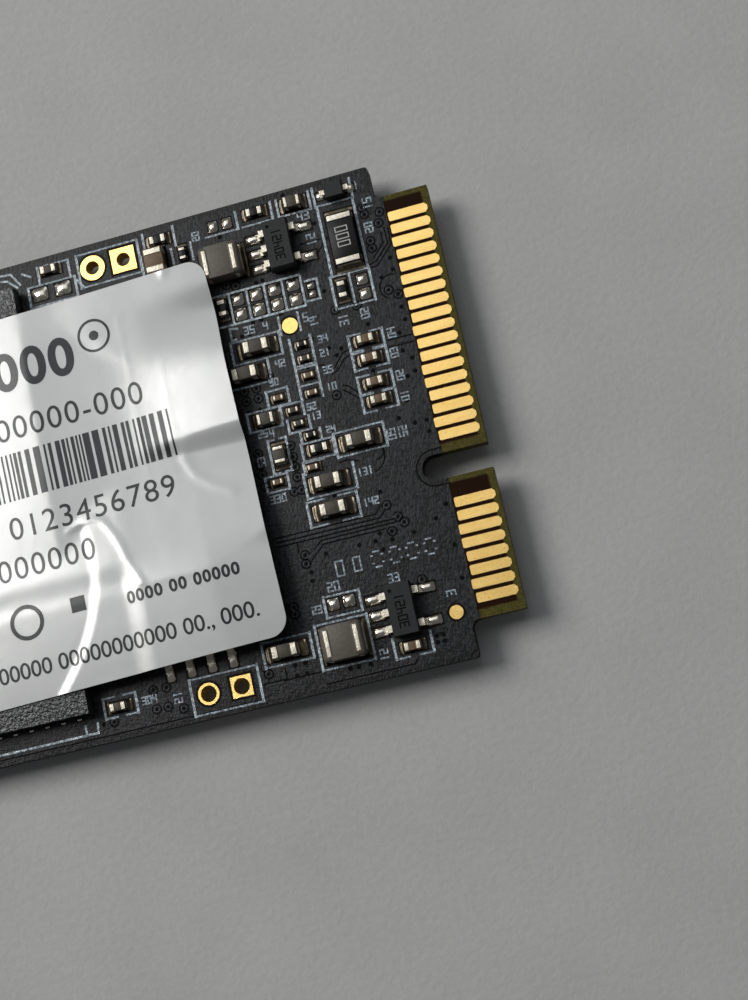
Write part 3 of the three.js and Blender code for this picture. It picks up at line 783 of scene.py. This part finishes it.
DIGIT_STROKES = {
    "0": [(0, 0), (1, 0), (1, 2), (0, 2), (0, 0)], "1": [(0.5, 0), (0.5, 2)],
    "2": [(0, 2), (1, 2), (1, 1), (0, 1), (0, 0), (1, 0)],
    "3": [(0, 2), (1, 2), (1, 1), (0.2, 1), (1, 1), (1, 0), (0, 0)],
    "4": [(0, 2), (0, 1), (1, 1), (1, 2), (1, 0)], "5": [(1, 2), (0, 2), (0, 1), (1, 1), (1, 0), (0, 0)],
}
MARKS = [
    # x, y, digits, height, and True for digits that run up the card
    (22.0, 12.35, "15", 0.5, True), (21.75, 10.9, "20", 0.45, True), (17.5, 12.75, "43", 0.5),
    (18.25, 11.1, "12", 0.5, True), (19.1, 5.75, "31", 0.5, True), (20.4, 5.85, "02", 0.45, True),
    (17.3, 6.2, "14", 0.4, True), (16.55, 6.6, "5", 0.5), (17.15, 5.1, "34", 0.4), (17.1, 4.25, "21", 0.4),
    (17.05, 3.2, "35", 0.4), (17.05, 2.15, "10", 0.4), (14.35, 4.3, "42", 0.4), (13.75, 3.3, "50", 0.38),
    (21.65, 4.3, "04", 0.42, True), (21.55, 3.1, "03", 0.42, True), (21.6, 1.7, "02", 0.42, True),
    (21.6, 0.45, "01", 0.42, True), (15.65, 1.3, "52", 0.38), (15.8, 0.7, "13", 0.38),
    (12.45, 0.4, "25", 0.4), (13.15, 0.3, "4", 0.4), (12.5, -1.3, "53", 0.4, True), (16.5, -0.3, "24", 0.36),
    (12.4, -3.6, "330", 0.42), (17.75, -3.25, "131", 0.4), (17.7, -5.05, "142", 0.4),
    (20.35, -1.6, "05", 0.45, True), (21.05, -1.6, "52", 0.45, True), (14.6, -9.4, "20", 0.5),
    (18.15, -9.7, "33", 0.45), (13.45, -10.45, "23", 0.4), (21.7, -11.2, "3", 0.5, True),
    (17.2, -13.9, "12", 0.45, True), (2.55, -13.25, "304", 0.4), (4.9, -13.6, "21", 0.45, True),
    (12.9, 6.75, "35", 0.45), (14.1, 6.75, "4", 0.45), (21.2, 13.75, "1", 0.45),
    (11.35, 13.3, "20", 0.4, True), (15.3, -8.65, "0", 0.85), (16.35, -8.6, "0", 0.8),
    (8.7, 13.35, "11", 0.25),
]
RINGED_VIAS = [
    (12.15, 3.38), (12.9, 3.38), (12.15, 2.75), (12.9, 2.75), (12.4, 10.05), (12.95, 9.85), (13.8, 3.9),
    (17.5, 1.75), (18.5, 6.8), (19.8, 6.72), (18.95, -5.3), (19.45, -6.1), (19.75, -6.5), (18.95, -6.85),
    (13.7, -7.0), (13.65, -7.52), (21.45, 10.35), (21.45, 9.9), (22.35, 11.95), (22.15, 11.3), (21.4, 12.5),
    (21.45, 12.05), (21.85, 7.15), (22.35, 6.75), (12.2, -0.5), (12.2, -1.2), (12.2, -1.8), (14.2, -0.5),
    (14.2, -1.2), (14.2, -1.8), (14.2, -2.42), (13.85, -3.22), (14.3, -3.22), (12.25, -2.45), (20.0, -9.95),
    (10.1, -12.8), (12.4, -9.8), (12.4, -10.2), (3.3, -12.58), (4.1, -12.6), (3.3, -13.7), (4.0, -13.7),
    (0.65, -13.85), (10.2, -13.2), (4.9, -14.0),
]
PLAIN_VIAS = [
    (12.15, 2.08), (12.85, 2.08), (14.2, 9.7), (14.6, 9.75), (13.5, 7.35), (14.05, 7.4), (15.25, 7.45),
    (12.1, 6.7), (12.7, 6.7), (13.2, 6.72), (18.1, 8.1), (21.6, 8.0), (22.35, 9.05), (22.35, 8.3),
    (22.35, 5.95), (22.4, 5.15), (20.2, 5.45), (21.9, 4.45), (18.35, 4.43), (17.65, 4.65), (18.0, 4.1),
    (16.8, 5.45), (19.9, 2.65), (22.3, 2.8), (22.3, 2.0), (21.8, 1.8), (21.85, 3.35), (21.45, 0.4),
    (20.75, -0.5), (21.6, -1.0), (22.3, -1.0), (22.3, -1.68), (22.3, -6.05), (21.55, -6.72), (14.9, -7.2),
    (16.9, -7.18), (17.87, -7.18), (18.85, -7.3), (20.15, -7.2), (18.2, -7.75), (13.85, -8.05),
    (13.8, -8.55), (22.25, -8.45), (22.25, -10.4), (18.75, -4.45), (15.25, -10.85), (20.1, -13.25),
    (20.5, -13.25), (20.1, -13.62), (20.5, -13.62), (14.9, -13.95), (15.4, -13.95), (16.1, -13.95),
    (11.8, -13.05), (12.4, -13.05), (11.8, -13.65), (12.4, -13.65), (18.4, 12.35), (18.7, 9.95),
    (18.75, 10.5), (12.6, 13.1), (16.9, 14.6), (14.1, 5.9), (18.2, -6.8), (16.1, -4.0), (0.0, -13.85),
    (13.1, -1.0), (16.15, 3.85), (16.15, 2.8),
]
GROOVES = [
    [(12.2, -5.65), (18.2, -5.65), (18.6, -5.25)], [(12.2, -5.92), (18.4, -5.92), (18.75, -5.6)],
    [(12.2, -6.17), (19.2, -6.17)], [(13.35, -6.75), (13.4, -6.3), (13.35, -6.2)],
    [(14.0, -7.05), (14.8, -6.38), (19.3, -6.38)], [(14.0, -7.4), (14.9, -6.62), (18.55, -6.62)],
    [(18.8, 3.92), (18.4, 3.78), (17.9, 3.2), (17.5, 3.05)],
    [(18.85, 4.25), (18.4, 4.15), (17.9, 3.62), (17.75, 3.4)], [(16.75, 3.75), (17.1, 3.75), (17.35, 3.5)],
    [(18.8, 1.55), (18.3, 2.1), (18.0, 2.25)], [(18.8, 1.2), (18.2, 1.75), (17.95, 1.95)],
    [(20.95, 4.18), (22.6, 4.18)], [(20.95, 3.75), (22.6, 3.75)],
    [(22.4, 10.95), (22.4, 9.95), (21.5, 9.05), (21.1, 8.95)], [(22.15, 10.7), (22.15, 10.05), (21.4, 9.3)],
    [(22.6, 10.9), (22.6, 9.85), (21.5, 8.75), (21.1, 8.75)], arc(19.0, -2.1, 0.45, 40, -90, 8),
    arc(18.4, -2.2, 1.1, 20, -70, 8), [(16.8, -2.2), (17.3, -2.15), (17.9, -2.35)],
    arc(22.1, 7.3, 0.75, 75, 235, 10), [(17.3, 11.3), (18.6, 11.3)], [(18.2, 10.5), (19.0, 11.3)],
    [(11.0, -13.75), (13.2, -13.75)], [(9.8, -13.7), (11.2, -13.7), (11.2, -13.1)],
    [(-25.0, -14.55), (9.7, -14.55)], [(13.4, -14.5), (18.6, -14.5), (18.7, -14.3)],
]
TRACKS = [
    [(12.2, -5.78), (18.3, -5.78), (18.78, -5.4)], [(12.2, -6.05), (19.3, -6.05)],
    [(13.85, -7.2), (14.85, -6.5), (19.6, -6.5)], [(22.28, 10.9), (22.28, 10.0), (21.45, 9.18)],
    [(18.85, 4.08), (18.4, 3.95), (17.85, 3.4)], [(20.95, 3.96), (22.6, 3.96)],
]


# Widths of thin and bold legend lines; the bold box sides also take the bright ink as a painted highlight.
THIN_LINE, BOLD_LIT_LINE = 0.11, 0.15


def box_sides(x0, x1, y0, y1, sides="wesn"):
    """The strokes of a legend box. A gap leaves the middle of its south and north sides open."""
    lines = {"w": [(x0, y0), (x0, y1)], "e": [(x1, y0), (x1, y1)],
             "s": [(x0, y0), (x1, y0)], "n": [(x0, y1), (x1, y1)]}
    third = (x1 - x0) * 0.36 if "g" in sides else 0
    for side in sides.replace("g", ""):
        (xa, ya), (xb, yb) = lines[side]
        if third and side in "sn":
            yield THIN_LINE, [(xa, ya), (xa + third, ya)]
            yield THIN_LINE, [(xb - third, yb), (xb, yb)]
        else:
            yield (THIN_LINE if side in "sn" else BOLD_LIT_LINE), lines[side]


def digit_lines(x, y, digits, height, upright=False):
    """The strokes of small stencilled digits, running along X, or up the card when upright."""
    step = height / 2
    for k, digit in enumerate(digits):
        points = [((px + 1.6 * k) * step, py * step) for px, py in DIGIT_STROKES[digit]]
        yield [(x - py, y + px) if upright else (x + px, y + py) for px, py in points]


def add_legend():
    """The printed legend: part outlines, small digits and dashes."""
    z0, z1 = BOARD_TOP, BOARD_TOP + 0.018
    outlines = Piece(INK, THIN_AND_SHADED_INK)
    # Bold sides along Y get the bright ink, a painted highlight; thin sides along X get the dim ink, painted
    # shade.
    for entry in BOXES:
        for width, line in box_sides(*entry):
            outlines.stroke(line, width, z0, z1, INK if width == BOLD_LIT_LINE else THIN_AND_SHADED_INK)
    for line in STROKES:
        outlines.stroke(line, 0.13, z0, z1)
    outlines.finish("legend_outlines", "solder_mask")
    digits = Piece(THIN_AND_SHADED_INK)
    for mark in MARKS:
        for line in digit_lines(*mark):
            digits.stroke(line, 0.09, z0, z1 - 0.004)
    for x in (17.6, 18.65, 19.65, 20.7):
        for y in (-7.75, -8.65):
            digits.stroke([(x, y), (x + 0.3, y)], 0.1, z0, z1)
        for y in (-7.97, -8.42):
            for dx in (0.45, -0.15):
                digits.stroke([(x + dx, y), (x + dx + 0.05, y)], 0.1, z0, z1)
    digits.finish("legend_digits", "solder_mask")


def notch_line(inset):
    """A line that follows the notch from the lacquer's end and back."""
    reach = NOTCH_HALF + inset
    bend = arc(NOTCH_CENTRE_X, NOTCH_Y, reach, 270, 90, 20)
    return [(MASK_END, NOTCH_Y - reach), *bend, (MASK_END, NOTCH_Y + reach)]


def card_line(inset):
    """A line that follows the card's sides from shoulder to shoulder."""
    east, west, side, cut = SHOULDER_X - inset, board_low.x + inset, board_high.y - inset, 0.2
    south = [(east, -side + 1.2), (east, -side + cut), (east - cut, -side), (west + cut, -side),
             (west, -side + cut)]
    return south + [(x, -y) for x, y in reversed(south)]


def add_tracks_and_vias():
    z = BOARD_TOP
    # The gaps round the copper are flat near-black strips, partly painted shade of the grooves; the via
    # holes are flat black discs, painted shade for the holes.
    shaded_grooves = Piece(GROOVE_AND_HOLE_SHADE)
    for line in GROOVES + [notch_line(0.32)]:
        shaded_grooves.stroke(line, 0.085, z, z + 0.003)
    for x, y in RINGED_VIAS:
        shaded_grooves.lathe(x, y, ring(0.23, 0.31, z, z + 0.003), 20)
        shaded_grooves.prism(disc(x, y, 0.1, 14), z, z + 0.006)
    # Each plain via is a flat black disc, painted shade for its hole.
    for x, y in PLAIN_VIAS:
        shaded_grooves.prism(disc(x, y, 0.135, 16), z, z + 0.004)
    shaded_grooves.finish("copper_clearances_and_shaded_holes", "solder_mask")
    bands = Piece(MASK_OVER_LAMINATE)
    for line in (notch_line, card_line):
        bands.prism(line(0.005) + line(0.3)[::-1], z, z + 0.002)
    bands.finish("lacquer_past_the_copper", "solder_mask")
    # Raised tracks and via rings in the lightened lacquer, partly painted sheen.
    tracks = Piece(MASK_OVER_COPPER_AND_SHEEN)
    for line in TRACKS:
        tracks.stroke(line, 0.1, z, z + 0.012)
    for x, y in RINGED_VIAS:
        tracks.lathe(x, y, [(0.1, z), (0.22, z), (0.19, z + 0.02), (0.13, z + 0.02)], 20)
    tracks.finish("tracks_and_via_rings", "solder_mask")


# ---- label ----

LABEL_THICK = 0.05
LABEL_HALF = (15.25, 11.5)
LABEL_CENTRE = Vector((-3.4, -0.28, 0.0))
LABEL_TURN = math.radians(1.7)
LABEL_CELLS = (176, 136)
MEMORY_EDGE_X, MEMORY_REST = -0.35, 1.215  # the memory's east end, and the sheet's height on it
FLASH_EDGE_Y, FLASH_REST = -6.6, 1.512  # where it turns down north of the flash chip, and its height there
CREASES = [
    # height, width, line
    (0.026, 0.18, [(0.4, -2.45), (1.2, -2.15), (1.9, -2.13), (2.5, -2.35), (2.85, -2.85), (3.33, -3.83),
                   (3.9, -5.7), (4.3, -6.5)]),
    (0.012, 0.3, [(4.3, -6.5), (8.4, -6.5), (10.2, -5.9), (11.8, -5.2)]),
    (0.022, 0.3, [(8.3, 0.9), (8.1, 0.1), (8.5, -0.95), (9.5, -1.85), (10.6, -2.45)]),
    (0.035, 0.25, [(9.0, 11.45), (9.3, 12.0)]),
]


def smooth(t):
    t = min(1.0, max(0.0, t))
    return t * t * (3 - 2 * t)


def ramp(t, ease=0.15):
    """Zero below zero and t above it, with a rounded corner."""
    return t if t > 8 * ease else ease * math.log1p(math.exp(t / ease))


def distance_to_line(x, y, points):
    best = 1e9
    for (xa, ya), (xb, yb) in zip(points, points[1:]):
        dx, dy = xb - xa, yb - ya
        t = min(1.0, max(0.0, ((x - xa) * dx + (y - ya) * dy) / (dx * dx + dy * dy)))
        best = min(best, math.hypot(x - xa - t * dx, y - ya - t * dy))
    return best


def film_height(x, y):
    """The sheet lies flat on the memory, sags east of it, and rises to its east and north-east."""
    t = ramp(x - MEMORY_EDGE_X, 0.06)
    height = MEMORY_REST - 0.07 * t + 0.0058 * min(t, 6.1) ** 2 + 0.071 * ramp(t - 6.1, 0.1)
    d = ramp(x - 3.8, 0.3)
    swell = 0.00825 * min(d, 4) ** 2 + 0.066 * ramp(d - 4, 0.1)
    height += swell * smooth((y - 0.25) / 1.2) * smooth((8.4 - y) / 3.8)
    north = smooth((y - 5.5) / 3)
    lifted = smooth((x - 2.9 - 0.128 * (11 - y) ** 2) / 1.6 + 0.5)
    height += 0.04 * north * lifted - 0.035 * north * ramp(x - 7)
    hook = 0.1 * smooth((x - 0.2) / 2.4) * smooth((3.4 - x) / 0.6)
    height += hook * math.exp(-((y + 2.15 + 0.13 * (x - 1.6) ** 2) / 0.28) ** 2)
    edge = MEMORY_REST - 0.045 * (ramp(t, 0.06) - ramp(t - 2, 0.3)) + 0.02 * ramp(x - 7, 0.3)
    return height + (edge - height) * smooth((y - 8.2) / 2.4)


def tent_height(x, y):
    """The sheet over the flash chip: folded down west of it, level on it, falling off past it."""
    west = 1.72 - 0.063 * (y + 4.6) ** 2 - x
    inland = smooth((y - FLASH_EDGE_Y) / 2)
    sunk = 0.13 * smooth((4.3 - x) / 1.3) * (1 - inland)
    height = FLASH_REST + 0.008 * (min(max(x, 4.4), 8.4) - 4.4) - sunk
    height -= 0.26 * (ramp(west, 0.05) - ramp(west - 0.33, 0.03)) + 0.01 * ramp(-6 - x, 1)
    d = ramp(x - 3.5)
    height -= 0.08 * ramp(y - FLASH_EDGE_Y) + (0.03 * d - 0.0025 * d * d) * inland
    return height - 0.065 * ramp(x - 8.6) * (1 - inland)


def label_height(x, y):
    """Height of the label's underside over the board: the higher of its two shapes, and its creases."""
    film, tent = film_height(x, y), tent_height(x, y)
    blend = 0.012
    height = max(film, tent) + blend * math.log1p(math.exp(-abs(film - tent) / blend))
    for rise, width, line in CREASES:
        height += rise * math.exp(-(distance_to_line(x, y, line) / width) ** 2)
    return height


def cut_in_cells(bm):
    for axis, (half, cells) in enumerate(zip(LABEL_HALF, LABEL_CELLS)):
        for i in range(1, cells):
            place, normal = Vector(), Vector()
            place[axis], normal[axis] = (2 * i / cells - 1) * half, 1
            everything = bm.verts[:] + bm.edges[:] + bm.faces[:]
            bmesh.ops.bisect_plane(bm, geom=everything, plane_co=place, plane_no=normal, dist=1e-5)


def lay_on_label(bm, offset, thickness):
    """Turns and places a flat mesh as the label, drapes it and gives it thickness."""
    bmesh.ops.rotate(bm, cent=(0, 0, 0), matrix=Matrix.Rotation(LABEL_TURN, 3, "Z"), verts=bm.verts)
    bmesh.ops.translate(bm, vec=LABEL_CENTRE, verts=bm.verts)
    for vert in bm.verts:
        vert.co.z = BOARD_TOP + label_height(vert.co.x, vert.co.y) + offset
    tops, rims = bm.faces[:], [edge for edge in bm.edges if edge.is_boundary]
    below = {vert: bm.verts.new(vert.co - Vector((0, 0, thickness))) for vert in bm.verts[:]}
    for face in tops:
        bm.faces.new([below[vert] for vert in reversed(face.verts)])
    for a, b in (edge.verts for edge in rims):
        bm.faces.new((a, b, below[b], below[a]))


def flat(bm, outline):
    bm.faces.new([bm.verts.new((x, y, 0)) for x, y in outline])


def flat_digits(bm, text, height, right, base, bold=0.0, spacing=1.1):
    """Flat digits that end at right, on the base line, in the label's own frame."""
    curve = bpy.data.curves.new("digits", "FONT")
    curve.body = text
    curve.size = height / 0.73
    curve.offset = bold
    curve.space_character = spacing
    curve.align_x = "RIGHT"
    curve.resolution_u = 6
    obj = bpy.data.objects.new("digits", curve)
    mesh = obj.to_mesh()
    mesh.transform(Matrix.Translation((right, base, 0)))
    bm.from_mesh(mesh)
    obj.to_mesh_clear()
    bpy.data.objects.remove(obj)
    bpy.data.curves.remove(curve)


def flat_ring(bm, x, y, outer, inner, steps=40):
    rims = [[bm.verts.new((px, py, 0)) for px, py in disc(x, y, r, steps)] for r in (inner, outer)]
    for i in range(steps):
        bm.faces.new((rims[0][i - 1], rims[1][i - 1], rims[1][i], rims[0][i]))


def add_label():
    """The sheet, and generic print on it: digits, bars, rings and a block that name no maker or model."""
    corner = 1.1
    (half_x, half_y), (cells_x, cells_y) = LABEL_HALF, LABEL_CELLS
    columns = [(2 * i / cells_x - 1) * half_x for i in range(cells_x + 1)]
    columns = [x for x in columns if abs(x) < half_x - corner]
    bends = [(half_x - corner + px, half_y - corner + py) for px, py in arc(0, 0, corner, 0, 90, 12)]
    rows = [(x, half_y) for x in columns] + [(x, y) for x, y in bends] + [(-x, y) for x, y in bends]
    sheet = Piece(FILM)
    shares = [2 * j / cells_y - 1 for j in range(cells_y + 1)]
    grid = [[sheet.bm.verts.new((x, share * y, 0)) for share in shares] for x, y in sorted(rows)]
    for a, b in zip(grid, grid[1:]):
        for j in range(cells_y):
            sheet.bm.faces.new((a[j], b[j], b[j + 1], a[j + 1]))
    lay_on_label(sheet.bm, LABEL_THICK, LABEL_THICK)
    sheet.finish("label_sheet", "label_film", ["label"])
    ink = Piece(PRINT)
    bm = ink.bm
    flat_digits(bm, "000000", 2.35, 6.3, 7.05, 0.09)
    flat_ring(bm, 7.75, 8.85, 1.02, 0.86)
    flat(bm, disc(7.75, 8.85, 0.3))
    flat_digits(bm, "0000-00000-000", 1.45, 9.95, 4.0)
    x = 11.15
    while x > -9:
        bar = random.choice((0.12, 0.12, 0.2, 0.3, 0.42))
        flat(bm, [(x - bar, 0.35), (x, 0.35), (x, 3.2), (x - bar, 3.2)])
        x -= bar + random.choice((0.1, 0.16, 0.24))
    flat_digits(bm, "0123456789 0123456789", 1.4, 10.65, -1.95)
    flat_digits(bm, "0000 000000", 1.4, 5.2, -4.3)
    flat_ring(bm, 0.2, -6.9, 1.05, 0.8)
    flat(bm, [(3.0, -7.1), (3.9, -7.1), (3.9, -6.2), (3.0, -6.2)])
    flat_digits(bm, "0000 00 00000", 0.72, 13.3, -7.45, 0.035, 1.15)
    flat_digits(bm, "000 00000000 0000000 00000000000 00., 000.", 1.0, 13.9, -10.1, 0.01, 0.98)
    cut_in_cells(bm)
    lay_on_label(bm, LABEL_THICK + 0.01, 0.02)
    ink.finish("label_print", "label_film")


# ---- the whole scene ----


def build():
    bpy.context.scene.view_settings.view_transform = "Standard"
    add_camera()
    set_world((0.93, 0.96, 1.0), 0.12)
    add_lamp("window", **WINDOW)
    add_lamp("north_window", **NORTH_WINDOW)
    add_floor()
    dress("circuit_board", LAMINATE)
    dress("solder_mask_top", MASK)
    dress("solder_mask_bottom", MASK)
    add_contacts()
    add_plated_holes()
    add_fiducials()
    add_ball_grid_packages()
    add_leaded_packages()
    add_large_capacitors()
    add_small_chips()
    add_pads()
    add_inductors_and_jumper()
    add_legend()
    add_tracks_and_vias()
    add_label()


build()
